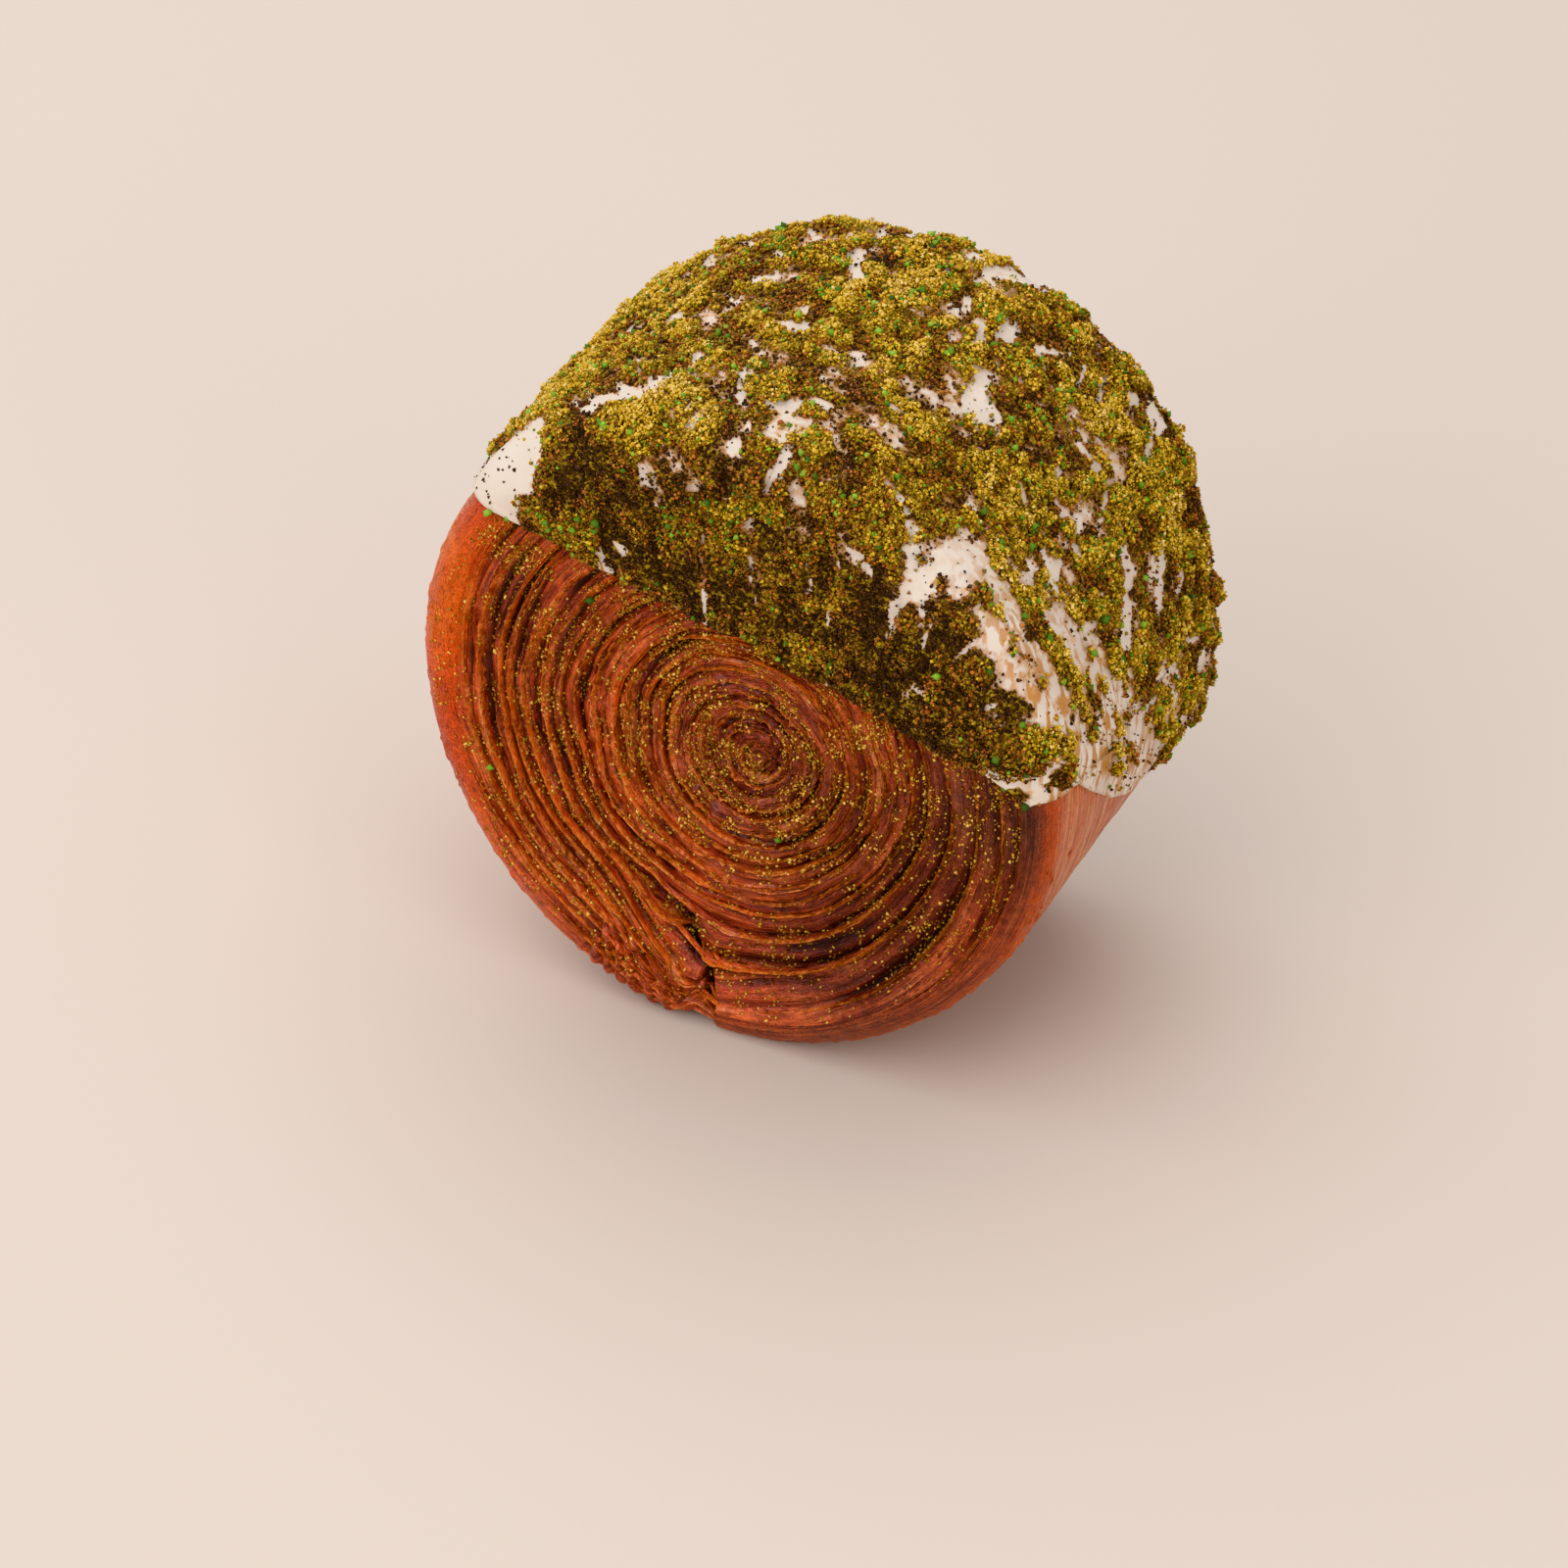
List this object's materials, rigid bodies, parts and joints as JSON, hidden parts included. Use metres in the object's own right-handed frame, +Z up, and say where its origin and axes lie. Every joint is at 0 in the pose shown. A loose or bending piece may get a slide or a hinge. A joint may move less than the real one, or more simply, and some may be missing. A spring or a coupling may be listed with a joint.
{
  "type": "croissant",
  "caption": "Round rolled croissant standing on its edge, with flaky spiral faces, its upper half dipped in white icing and covered with ground nuts.",
  "frame": {"origin": "under the middle of the croissant, on the surface it stands on", "axes": "+Z up, +Y along the roll's axis from its front spiral face to its back one, +X to the right as seen from the front"},
  "size_m": [0.1024, 0.0686, 0.1047],
  "materials": {
    "baked_dough": "browned flaky crust with a light buttery gloss",
    "iced_crumbs": "white icing under a rough crust of ground pistachio"
  },
  "bodies": {
    "root": {"pastry": "baked_dough", "icing": "iced_crumbs"}
  },
  "joints": []
}
